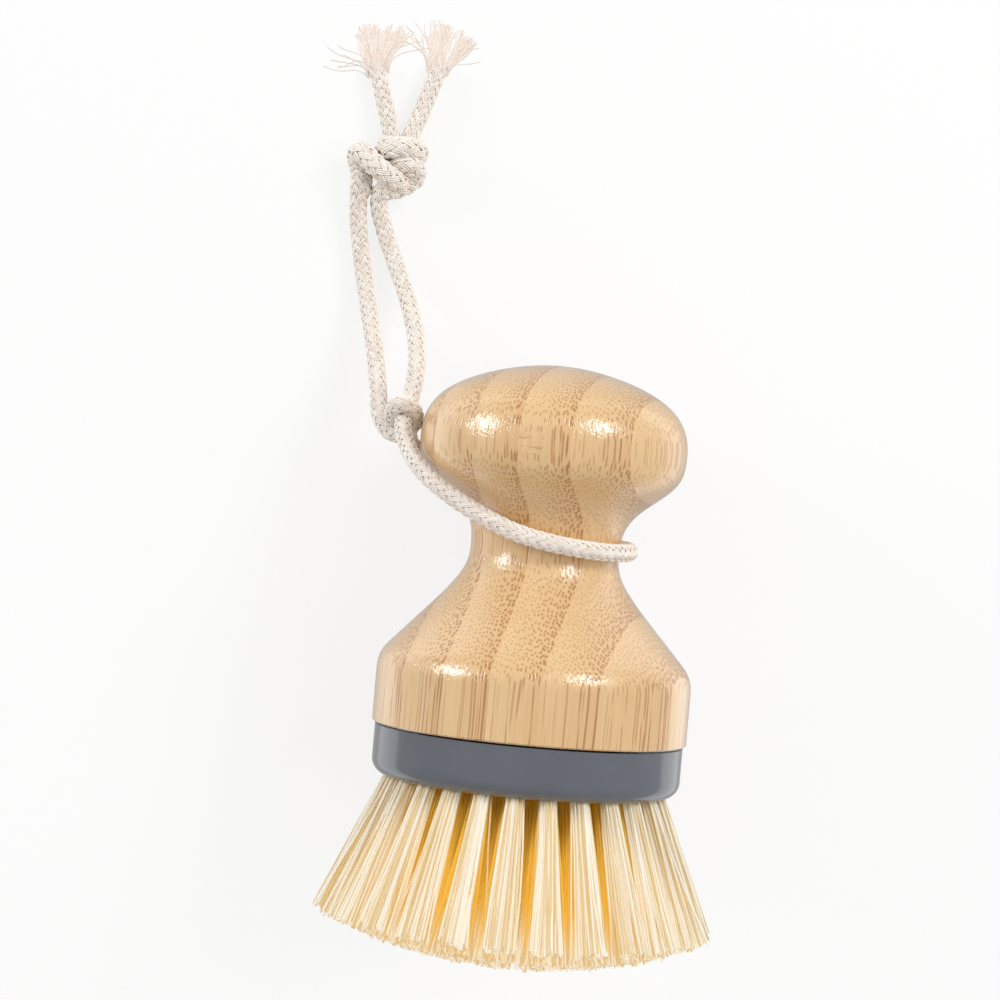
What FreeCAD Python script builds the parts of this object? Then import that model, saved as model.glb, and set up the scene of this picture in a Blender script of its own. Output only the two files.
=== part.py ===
import FreeCAD, Part
import math
import os

# A round palm brush for dishes, lying on its side: a turned bamboo knob handle on a plastic plate of splayed tufts,
# with a cotton cord tied round its waist. Lengths are millimetres and angles are degrees. Each rigid piece is drawn
# about the brush's own axis, with the bristle face at height zero and the knob above it, and is then laid down.
# Laid down, +Z is up from the table, +Y runs along the brush towards the knob and +X to the right.

# Turned handle. Heights are above its flat underside.
HANDLE_HEIGHT = 69.8
KNOB_RADIUS = 25.4
KNOB_HEIGHT = 54.7
NECK_RADIUS = 14.1
NECK_HEIGHT = 34.8
BASE_RADIUS = 29.9
BASE_CHAMFER = 0.3
SHOULDER_HEIGHT = 12.9
SHOULDER_ROUND = 6.8
CONE_TOP_RADIUS = 19.8
CONE_TOP_HEIGHT = 23.9
# The waist's outline between its fixed points, as (radius share, height share) of the way up from each.
FLARE_SHARES = ((0.45, 0.28), (0.82, 0.57), (0.97, 0.80))
UNDERCUT_SHARES = ((0.06, 0.23), (0.21, 0.37), (0.53, 0.53), (0.83, 0.68))
# The knob's dome, as (radius share, height share) of the way in and up from its widest ring to its crown.
DOME_SHARES = ((0.026, 0.276), (0.094, 0.477), (0.24, 0.678), (0.434, 0.828), (0.64, 0.9285), (0.835, 0.985))

# Moulded bristle plate, with a spigot that seats in the handle and leaves a thin seam round the rim.
RIM_RADIUS = 29.3
RIM_HEIGHT = 9.5
RIM_ROUND = 3.0
SEAM_GAP = 0.4
SPIGOT_RADIUS = 21.0
SPIGOT_HEIGHT = 2.6
SPIGOT_CLEARANCE = 0.15

# Countersunk wood screw on the brush's axis.
SCREW_LENGTH = 25.0
SCREW_RADIUS = 2.0
SCREW_HEAD_RADIUS = 3.9
SCREW_HEAD_HEIGHT = 2.4
SCREW_POINT_LENGTH = 4.0
SCREW_INSET = 0.3
SCREW_CLEARANCE = 0.05
DRIVE_SPAN = 4.4
DRIVE_WIDTH = 0.9
DRIVE_DEPTH = 1.4
PILOT_SPARE = 1.0

# Tufts in round rows, from the rim inwards. Each is pinched over a flat wire anchor at the bottom of an angled hole.
ROW_NAMES = ("outer_tuft", "second_row_tufts", "third_row_tufts", "inner_row_tufts")
ROW_COUNTS = (26, 20, 14, 8)
OUTER_ROOT_INSET = 4.2
ROW_PITCH = 5.9
OUTER_SPLAY = 20.6
OUTER_TIP_DEPTH = 26.4
MIDDLE_TIP_DEPTH = 29.5
TUFT_ROOT_RADIUS = 1.75
TUFT_TIP_RADIUS = 3.5
# The filaments of a tuft part into locks, with valleys between them this share of the tuft's radius deep.
LOCK_COUNT = 6
LOCK_VALLEY_SHARE = 0.2
TUFT_CLEARANCE = 0.05
HOLE_DEPTH = 6.5
ANCHOR_HEIGHT = 1.6
ANCHOR_THICKNESS = 0.4
ANCHOR_BITE = 0.3
ANCHOR_CLEARANCE = 0.03

# Hanging cord: one limp cotton cord, knotted at its two ends and half knotted beside the knob. Its places are
# points on the table top or beside the handle, as it lies.
CORD_DIAMETER = 3.6
CORD_ARC_SHARE = 0.45
LEFT_TAIL = ((-36.4, 92.6, 4.4), (-36.5, 97.0, 2.9), (-37.4, 101.8, 1.85), (-39.0, 106.4, 1.85))
RIGHT_TAIL = ((-33.2, 92.6, 4.4), (-32.1, 97.2, 2.9), (-30.4, 102.4, 1.85), (-28.3, 107.2, 1.85))
LEFT_STRAND = (
    (-40.9, 86.2, 3.8), (-41.1, 80.9, 2.8), (-40.3, 73.8, 2.0), (-38.7, 66.6, 2.4), (-36.9, 59.4, 4.6),
    (-35.2, 52.2, 8.4), (-33.8, 45.9, 13.2), (-30.6, 41.4, 18.2),
)
RIGHT_STRAND = (
    (-37.9, 86.0, 3.6), (-37.0, 81.2, 2.9), (-34.7, 74.4, 2.1), (-31.5, 67.5, 3.8), (-28.6, 60.6, 7.8),
    (-27.0, 53.6, 13.0), (-27.6, 47.4, 18.6), (-29.0, 42.8, 21.6),
)
NECK_LOOP = (
    (-29.0, 42.4, 22.4), (-28.6, 39.6, 26.4), (-27.0, 36.6, 31.4), (-23.6, 33.4, 36.3), (-18.2, 30.2, 39.2),
    (-12.2, 27.4, 41.2), (-6.2, 25.4, 43.6), (0.8, 24.2, 44.7), (8.4, 23.2, 42.6), (14.7, 22.4, 36.3),
    (17.0, 21.6, 27.9), (14.8, 20.6, 19.4), (8.5, 19.9, 13.2), (0.6, 20.0, 10.9), (-6.4, 21.4, 11.6),
    (-12.8, 24.0, 13.2), (-18.8, 27.6, 14.6), (-23.8, 31.8, 15.8), (-27.4, 36.6, 17.4), (-29.2, 41.4, 19.6),
)
# Each knot is a cluster of thick bands, each from one point to another with a radius.
END_KNOT_BANDS = (
    ((-41.4, 90.4, 5.4), (-32.6, 86.4, 5.8), 3.0),
    ((-36.6, 92.2, 4.5), (-32.4, 92.5, 4.5), 3.1),
    ((-38.8, 85.4, 3.3), (-34.4, 85.8, 3.3), 3.3),
)
HALF_KNOT_BANDS = (
    ((-31.0, 42.2, 22.6), (-27.6, 44.6, 22.6), 2.0),
    ((-29.2, 40.4, 20.6), (-28.6, 43.4, 20.8), 2.7),
    ((-31.0, 40.2, 18.6), (-28.2, 41.8, 18.4), 1.9),
)
# Frayed ends: each fans out from the tail's end to a flat oval.
FRAY_LENGTH = 9.0
FRAY_HALF_WIDTH = 5.0
FRAY_HALF_HEIGHT = 1.8

# One length by which every cutting shape runs past the face that it opens.
CUT_OVERRUN = 1.0

ORIGIN = FreeCAD.Vector(0, 0, 0)
AXIS = FreeCAD.Vector(0, 0, 1)
SEAT_HEIGHT = RIM_HEIGHT + SPIGOT_HEIGHT
UNDERSIDE_HEIGHT = RIM_HEIGHT + SEAM_GAP
OUTER_ROOT_RADIUS = RIM_RADIUS - OUTER_ROOT_INSET


def section_point(radius, height):
    """A point of a turned outline, in the plane that is spun about the brush's axis."""
    return FreeCAD.Vector(radius, 0, height)


def between(start, end, radius_share, height_share):
    """The point a share of the way from one outline point to another, in radius and in height."""
    return section_point(start.x + radius_share * (end.x - start.x), start.z + height_share * (end.z - start.z))


def straight_edges(points):
    """Straight edges from each point to the next."""
    return [Part.LineSegment(a, b).toShape() for a, b in zip(points, points[1:])]


def corner_arc(before, corner, after, reach):
    """Start, middle and end of the arc that rounds a corner from a distance of reach, and its radius."""
    to_before = (before - corner).normalize()
    to_after = (after - corner).normalize()
    half_angle = to_before.getAngle(to_after) / 2
    bisector = (to_before + to_after).normalize()
    radius = reach * math.tan(half_angle)
    middle = corner + bisector * (reach / math.cos(half_angle) - radius)
    return corner + to_before * reach, middle, corner + to_after * reach, radius


def turned(edges):
    """The solid that a closed outline sweeps about the brush's axis."""
    return Part.Face(Part.Wire(edges)).revolve(ORIGIN, AXIS, 360)


def dome_curve():
    """The knob's outline from its widest ring to its crown."""
    knob = section_point(KNOB_RADIUS, UNDERSIDE_HEIGHT + KNOB_HEIGHT)
    crown = section_point(0, UNDERSIDE_HEIGHT + HANDLE_HEIGHT)
    rising = [knob] + [between(knob, crown, *shares) for shares in DOME_SHARES]
    falling = [section_point(-point.x, point.z) for point in reversed(rising)]
    dome = Part.BSplineCurve()
    dome.interpolate(Points=rising + [crown] + falling, InitialTangent=AXIS, FinalTangent=-AXIS)
    dome.segment(dome.FirstParameter, dome.parameter(crown))
    return dome


def make_handle():
    """Bamboo handle: wall, rounded shoulder, cone, waist and domed knob, with the plate's seat and a screw pilot."""
    seat_radius = SPIGOT_RADIUS + SPIGOT_CLEARANCE
    pilot_radius = SCREW_RADIUS + SCREW_CLEARANCE
    pilot_top = SCREW_INSET + SCREW_LENGTH + PILOT_SPARE
    edge = section_point(BASE_RADIUS, UNDERSIDE_HEIGHT + BASE_CHAMFER)
    shoulder = section_point(BASE_RADIUS, UNDERSIDE_HEIGHT + SHOULDER_HEIGHT)
    cone_top = section_point(CONE_TOP_RADIUS, UNDERSIDE_HEIGHT + CONE_TOP_HEIGHT)
    neck = section_point(NECK_RADIUS, UNDERSIDE_HEIGHT + NECK_HEIGHT)
    knob = section_point(KNOB_RADIUS, UNDERSIDE_HEIGHT + KNOB_HEIGHT)
    crown = section_point(0, UNDERSIDE_HEIGHT + HANDLE_HEIGHT)

    turn = (edge - shoulder).getAngle(cone_top - shoulder)
    round_reach = SHOULDER_ROUND / math.tan(turn / 2)
    round_start, round_middle, round_end, _ = corner_arc(edge, shoulder, cone_top, round_reach)
    waist_points = [cone_top]
    waist_points += [between(cone_top, neck, *shares) for shares in FLARE_SHARES]
    waist_points += [neck]
    waist_points += [between(neck, knob, *shares) for shares in UNDERCUT_SHARES]
    waist_points += [knob]
    waist = Part.BSplineCurve()
    waist.interpolate(Points=waist_points, InitialTangent=cone_top - shoulder, FinalTangent=AXIS)

    underside = [
        crown,
        section_point(0, pilot_top),
        section_point(pilot_radius, pilot_top),
        section_point(pilot_radius, SEAT_HEIGHT),
        section_point(seat_radius, SEAT_HEIGHT),
        section_point(seat_radius, UNDERSIDE_HEIGHT),
        section_point(BASE_RADIUS - BASE_CHAMFER, UNDERSIDE_HEIGHT),
        edge,
        round_start,
    ]
    outline = straight_edges(underside)
    outline += [Part.Arc(round_start, round_middle, round_end).toShape()]
    outline += straight_edges([round_end, cone_top])
    outline += [waist.toShape(), dome_curve().toShape()]
    return turned(outline)


class Tuft:
    """One tuft's place on the bristle plate: where it leaves the plate, which way it leans and how long it is."""

    def __init__(self, row, number):
        root_radius = OUTER_ROOT_RADIUS - row * ROW_PITCH
        out_share = root_radius / OUTER_ROOT_RADIUS
        splay = math.radians(OUTER_SPLAY * out_share)
        tip_depth = MIDDLE_TIP_DEPTH - (MIDDLE_TIP_DEPTH - OUTER_TIP_DEPTH) * out_share ** 2
        around = 2 * math.pi * (number + 0.5) / ROW_COUNTS[row]
        outwards = FreeCAD.Vector(math.sin(around), math.cos(around), 0)
        self.root = outwards * root_radius
        self.lean = outwards * math.sin(splay) - AXIS * math.cos(splay)
        self.across = AXIS.cross(outwards)
        self.length = tip_depth / math.cos(splay)
        self.tip = self.root + self.lean * self.length
        self.tip_points = self.outline(self.tip, TUFT_TIP_RADIUS)

    def outline(self, centre, radius):
        """The bundle's corners across its lean, a crest and a valley for each lock of filaments."""
        crestwards = self.across.cross(self.lean)
        points = []
        for step in range(2 * LOCK_COUNT):
            around = math.pi * step / LOCK_COUNT
            outwards = crestwards * math.cos(around) + self.across * math.sin(around)
            points.append(centre + outwards * radius * (1 - LOCK_VALLEY_SHARE * (step % 2)))
        return points

    def bundle(self):
        """The filaments as one bundle of locks that widens from the pinch over the anchor to the trimmed tip."""
        foot_depth = HOLE_DEPTH - ANCHOR_HEIGHT
        flare = (TUFT_TIP_RADIUS - TUFT_ROOT_RADIUS) / self.length
        foot_radius = TUFT_ROOT_RADIUS - flare * foot_depth
        foot_points = self.outline(self.root - self.lean * foot_depth, foot_radius)
        rings = (foot_points, self.tip_points)
        return Part.makeLoft([Part.makePolygon(ring + ring[:1]) for ring in rings], True, True)

    def hole(self):
        """The drilled blind hole that holds the tuft."""
        start = self.root - self.lean * HOLE_DEPTH
        return Part.makeCylinder(TUFT_ROOT_RADIUS + TUFT_CLEARANCE, HOLE_DEPTH + CUT_OVERRUN, start, self.lean)

    def anchor(self, clearance=0):
        """The flat wire across the hole's bottom, whose ends bite into the wall of the hole."""
        span = 2 * (TUFT_ROOT_RADIUS + TUFT_CLEARANCE + ANCHOR_BITE + clearance)
        thickness = ANCHOR_THICKNESS + 2 * clearance
        wire = Part.makeBox(span, thickness, ANCHOR_HEIGHT)
        wire.translate(FreeCAD.Vector(-span / 2, -thickness / 2, 0))
        turn = FreeCAD.Rotation(self.across, self.lean.cross(self.across), self.lean, "ZXY")
        wire.Placement = FreeCAD.Placement(self.root - self.lean * HOLE_DEPTH, turn) * wire.Placement
        return wire

    def reach(self, direction):
        """How far the trimmed tip reaches in a direction."""
        return max(point.dot(direction) for point in self.tip_points)


TUFT_ROWS = [[Tuft(row, number) for number in range(count)] for row, count in enumerate(ROW_COUNTS)]
TUFTS = [tuft for row in TUFT_ROWS for tuft in row]


def make_bristle_plate():
    """Grey plate: rim with a rounded lower edge, spigot, countersunk bore, and a blind hole for every tuft."""
    bore_radius = SCREW_RADIUS + SCREW_CLEARANCE
    flat_radius = RIM_RADIUS - RIM_ROUND
    round_centre = section_point(flat_radius, RIM_ROUND)
    round_middle = round_centre + FreeCAD.Vector(RIM_ROUND, 0, -RIM_ROUND) * math.sqrt(0.5)
    round_top = section_point(RIM_RADIUS, RIM_ROUND)
    round_bottom = section_point(flat_radius, 0)
    upper = [
        section_point(bore_radius, SCREW_INSET + SCREW_HEAD_HEIGHT),
        section_point(bore_radius, SEAT_HEIGHT),
        section_point(SPIGOT_RADIUS, SEAT_HEIGHT),
        section_point(SPIGOT_RADIUS, RIM_HEIGHT),
        section_point(RIM_RADIUS, RIM_HEIGHT),
        round_top,
    ]
    lower = [
        round_bottom,
        section_point(SCREW_HEAD_RADIUS, 0),
        section_point(SCREW_HEAD_RADIUS, SCREW_INSET),
        section_point(bore_radius, SCREW_INSET + SCREW_HEAD_HEIGHT),
    ]
    outline = straight_edges(upper)
    outline += [Part.Arc(round_top, round_middle, round_bottom).toShape()]
    outline += straight_edges(lower)
    cuts = [tuft.hole() for tuft in TUFTS] + [tuft.anchor(ANCHOR_CLEARANCE) for tuft in TUFTS]
    return turned(outline).cut(cuts)


def make_fixing_screw():
    """Countersunk wood screw, head down among the tufts, with a cross recess and a pointed end."""
    tip = SCREW_INSET + SCREW_LENGTH
    outline = [
        section_point(0, SCREW_INSET),
        section_point(SCREW_HEAD_RADIUS, SCREW_INSET),
        section_point(SCREW_RADIUS, SCREW_INSET + SCREW_HEAD_HEIGHT),
        section_point(SCREW_RADIUS, tip - SCREW_POINT_LENGTH),
        section_point(0, tip),
        section_point(0, SCREW_INSET),
    ]
    slot = Part.makeBox(DRIVE_SPAN, DRIVE_WIDTH, DRIVE_DEPTH + CUT_OVERRUN)
    slot.translate(FreeCAD.Vector(-DRIVE_SPAN / 2, -DRIVE_WIDTH / 2, SCREW_INSET - CUT_OVERRUN))
    cross_slot = slot.copy()
    cross_slot.rotate(ORIGIN, AXIS, 90)
    return turned(straight_edges(outline)).cut([slot, cross_slot])


def make_brush_pieces():
    """Every rigid piece by name, about the brush's own axis."""
    pieces = {
        "handle": make_handle(),
        "bristle_plate": make_bristle_plate(),
        "fixing_screw": make_fixing_screw(),
        "tuft_anchors": Part.Compound([tuft.anchor() for tuft in TUFTS]),
    }
    for number, tuft in enumerate(TUFT_ROWS[0], 1):
        pieces[f"{ROW_NAMES[0]}_{number:02d}"] = tuft.bundle()
    for name, row in zip(ROW_NAMES[1:], TUFT_ROWS[1:]):
        pieces[name] = Part.Compound([tuft.bundle() for tuft in row])
    return pieces


def cord_points(route):
    """A route's points as vectors."""
    return [FreeCAD.Vector(*point) for point in route]


def cord_path(points):
    """A cord's centre line, straight runs joined by arcs as large as the runs allow, and its least arc radius."""
    edges = []
    radii = []
    start = points[0]
    for before, corner, after in zip(points, points[1:], points[2:]):
        reach = CORD_ARC_SHARE * min((before - corner).Length, (after - corner).Length)
        arc_start, middle, arc_end, radius = corner_arc(before, corner, after, reach)
        edges += [Part.LineSegment(start, arc_start).toShape(), Part.Arc(arc_start, middle, arc_end).toShape()]
        radii.append(radius)
        start = arc_end
    edges.append(Part.LineSegment(start, points[-1]).toShape())
    return Part.Wire(edges), min(radii)


def cord_tube(route, label):
    """A stretch of cord as a round tube along its route."""
    points = cord_points(route)
    path, least_radius = cord_path(points)
    section = Part.Wire(Part.Circle(points[0], points[1] - points[0], CORD_DIAMETER / 2).toShape())
    tube = path.makePipeShell([section], True, False)
    volume_share = tube.Volume / (math.pi / 4 * CORD_DIAMETER ** 2 * path.Length)
    print(f"{label}: {path.Length:.1f} mm long, least radius {least_radius:.1f} mm, volume share {volume_share:.4f}")
    return tube


def knot_band(start, end, radius):
    """A thick rounded band between two points."""
    start, end = cord_points((start, end))
    length = (end - start).Length
    middle_share = math.sqrt(0.5)
    low_middle = section_point(radius * middle_share, -radius * middle_share)
    high_middle = section_point(radius * middle_share, length + radius * middle_share)
    corners = [section_point(0, -radius), section_point(radius, 0), section_point(radius, length)]
    top = section_point(0, length + radius)
    outline = [Part.Arc(corners[0], low_middle, corners[1]).toShape()]
    outline += straight_edges(corners[1:])
    outline += [Part.Arc(corners[2], high_middle, top).toShape()]
    outline += straight_edges([top, corners[0]])
    band = turned(outline)
    band.Placement = FreeCAD.Placement(start, FreeCAD.Rotation(AXIS, end - start))
    return band


def make_knot(bands):
    """A knot as its bands grown into one solid."""
    first, *others = [knot_band(*band) for band in bands]
    return first.fuse(others)


def make_fray(tail):
    """A tail's frayed end, from the cord's round section to a flat oval on the table."""
    before, end = cord_points(tail[-2:])
    along = (end - before).normalize()
    sideways = AXIS.cross(along).normalize()
    turn = FreeCAD.Rotation(sideways, along.cross(sideways), along, "ZXY")
    small = Part.Wire(Part.Circle(ORIGIN, AXIS, CORD_DIAMETER / 2).toShape())
    large = Part.Wire(Part.Ellipse(AXIS * FRAY_LENGTH, FRAY_HALF_WIDTH, FRAY_HALF_HEIGHT).toShape())
    fray = Part.makeLoft([small, large], True, True)
    fray.Placement = FreeCAD.Placement(end, turn)
    return fray


def make_cord_pieces():
    """Every piece of the cord by name, as it lies. The tubes end where they enter a knot."""
    end_knot = make_knot(END_KNOT_BANDS)
    half_knot = make_knot(HALF_KNOT_BANDS)
    routes = {
        "cord_left_tail": LEFT_TAIL,
        "cord_right_tail": RIGHT_TAIL,
        "cord_left_strand": LEFT_STRAND,
        "cord_right_strand": RIGHT_STRAND,
        "cord_neck_loop": NECK_LOOP,
    }
    pieces = {name: cord_tube(route, name).cut([end_knot, half_knot]) for name, route in routes.items()}
    pieces["cord_end_knot"] = end_knot
    pieces["cord_half_knot"] = half_knot
    pieces["cord_left_fray"] = make_fray(LEFT_TAIL)
    pieces["cord_right_fray"] = make_fray(RIGHT_TAIL)
    return pieces


DOME_POINTS = dome_curve().discretize(Number=400)


def knob_reach(direction):
    """How far the knob's dome reaches in a direction."""
    sideways = math.hypot(direction.x, direction.y)
    return max(point.x * sideways + point.z * direction.z for point in DOME_POINTS)


def brush_reach(direction):
    """How far the brush reaches in a direction, at the knob or at the tips of the tufts."""
    return max([knob_reach(direction)] + [tuft.reach(direction) for tuft in TUFTS])


def table_direction(tilt):
    """The way down to the table, seen from the brush, when its axis dips towards the knob by a tilt."""
    return FreeCAD.Vector(0, math.cos(tilt), math.sin(tilt))


def resting_tilt():
    """The dip at which the knob and the lowest tips of the tufts touch the table together."""
    low, high = 0.0, math.pi / 4
    for _ in range(60):
        tilt = (low + high) / 2
        down = table_direction(tilt)
        if knob_reach(down) < max(tuft.reach(down) for tuft in TUFTS):
            low = tilt
        else:
            high = tilt
    return tilt


def lying_placement():
    """The turn and shift that lay the brush on the table with its box centred over the origin."""
    tilt = resting_tilt()
    turn = FreeCAD.Rotation(FreeCAD.Vector(1, 0, 0), -90 - math.degrees(tilt))
    knobwards = FreeCAD.Vector(0, -math.sin(tilt), math.cos(tilt))
    middle = (brush_reach(knobwards) - brush_reach(-knobwards)) / 2
    print(f"axis dips {math.degrees(tilt):.3f} degrees, shift {-middle:.3f}, lift {brush_reach(table_direction(tilt)):.3f}")
    return FreeCAD.Placement(FreeCAD.Vector(0, -middle, brush_reach(table_direction(tilt))), turn)


def main():
    """Build every piece and write one file for each."""
    os.makedirs("parts", exist_ok=True)
    lying = lying_placement()
    pieces = make_brush_pieces()
    for shape in pieces.values():
        shape.Placement = lying * shape.Placement
    pieces.update(make_cord_pieces())
    for name, shape in pieces.items():
        print(f"{name}: {len(shape.Solids)} solids, {shape.Volume:.1f} mm3, valid {shape.isValid()}")
        shape.exportStep(f"parts/{name}.step")


main()
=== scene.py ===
"""A bamboo dish brush lying on its side, its braided cotton hanging cord laid out above it.

The brush keeps its turned handle, bristle plate, screw and tuft anchors from the construction model. The soft
pieces, the filaments of the tufts and the braided cord with its two knots and frayed ends, are made here.
"""

import logging
import math
import random
from dataclasses import dataclass
from enum import Enum

import bpy
from mathutils import Matrix, Vector


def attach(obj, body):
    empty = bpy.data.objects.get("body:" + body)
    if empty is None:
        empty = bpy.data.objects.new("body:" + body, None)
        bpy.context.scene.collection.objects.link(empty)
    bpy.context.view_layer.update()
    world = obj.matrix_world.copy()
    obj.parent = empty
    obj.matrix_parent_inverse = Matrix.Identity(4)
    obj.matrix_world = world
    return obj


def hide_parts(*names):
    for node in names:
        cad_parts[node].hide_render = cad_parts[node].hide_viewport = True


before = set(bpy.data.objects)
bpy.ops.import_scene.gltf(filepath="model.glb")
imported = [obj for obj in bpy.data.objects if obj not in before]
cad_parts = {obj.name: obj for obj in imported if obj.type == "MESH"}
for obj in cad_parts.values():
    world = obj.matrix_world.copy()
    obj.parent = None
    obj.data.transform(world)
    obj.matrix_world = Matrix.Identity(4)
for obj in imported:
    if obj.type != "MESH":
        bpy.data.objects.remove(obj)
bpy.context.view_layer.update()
log = logging.getLogger("dish_brush")

MM = 0.001
# The brush lies on its knob and its outer tufts. Its own z runs up its axis from the bristle plate's face.
TILT = math.radians(7.909)
BRUSH_TURN = (-math.pi / 2 - TILT, 0.0, 0.0)
BRUSH_ORIGIN = (0.0, -23.802 * MM, 34.195 * MM)
BRUSH_PLACE = Matrix.Translation(BRUSH_ORIGIN) @ Matrix.Rotation(BRUSH_TURN[0], 4, "X")
# The angle that spreads points evenly over a disc, radians.
GOLDEN_TURN = 2.399963
# Sockets of a mix node: the two numbers, the two colours, and the mixed colour.
NUMBER_A, NUMBER_B, COLOUR_A, COLOUR_B, MIXED_COLOUR = 2, 3, 6, 7, 2


class Body(str, Enum):
    """The two bodies of the construction model."""

    BRUSH = "brush"
    CORD = "cord"


class Slot(str, Enum):
    """The record's material slots."""

    BAMBOO = "bamboo"
    PLATE = "plate_plastic"
    FILAMENT = "filament"
    STEEL = "steel"
    COTTON = "cotton"


def linear(code: str) -> tuple[float, float, float, float]:
    """Turns a colour as it looks on a screen into the renderer's own numbers.

    Args:
        code: The colour as #RRGGBB.

    Returns:
        Linear red, green, blue and an alpha of one.
    """
    shares = [int(code[i : i + 2], 16) / 255 for i in (1, 3, 5)]
    red, green, blue = [s / 12.92 if s <= 0.04045 else ((s + 0.055) / 1.055) ** 2.4 for s in shares]
    return (red, green, blue, 1.0)


def add_node(
    tree: bpy.types.NodeTree, kind: str, inputs: dict | None = None, **settings: object
) -> bpy.types.Node:
    """Adds one node to a tree.

    Args:
        tree: The material's or world's node tree.
        kind: The node's type name, without the ShaderNode that it starts with.
        inputs: Socket name or number to a value, an output socket, or a node whose first output is meant.
        settings: Values of the node's own properties.

    Returns:
        The new node.
    """
    node = tree.nodes.new("ShaderNode" + kind)
    for name, value in settings.items():
        setattr(node, name, value)
    for key, value in (inputs or {}).items():
        source = value.outputs[0] if isinstance(value, bpy.types.Node) else value
        if isinstance(source, bpy.types.NodeSocket):
            tree.links.new(source, node.inputs[key])
        else:
            node.inputs[key].default_value = source
    return node


def new_material(name: str) -> tuple[bpy.types.Material, bpy.types.NodeTree]:
    """Makes an empty node material.

    Args:
        name: What the real material is called.

    Returns:
        The material and its node tree.
    """
    material = bpy.data.materials.new(name)
    material.use_nodes = True
    material.node_tree.nodes.clear()
    return material, material.node_tree


def close_material(tree: bpy.types.NodeTree, inputs: dict) -> None:
    """Ends a material with its surface shader.

    Args:
        tree: The material's node tree.
        inputs: The surface shader's sockets, as for add_node.
    """
    shader = add_node(tree, "BsdfPrincipled", inputs)
    add_node(tree, "OutputMaterial", {"Surface": shader})


def brush_space(tree: bpy.types.NodeTree) -> bpy.types.Node:
    """Gives the place on the brush in mm: z runs up the brush's axis from the bristle plate's face.

    Args:
        tree: The material's node tree.

    Returns:
        The node whose first output is the place.
    """
    here = add_node(tree, "TexCoord").outputs["Object"]
    place = {"Vector": here, "Location": BRUSH_ORIGIN, "Rotation": BRUSH_TURN, "Scale": (MM, MM, MM)}
    return add_node(tree, "Mapping", place, vector_type="TEXTURE")


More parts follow.
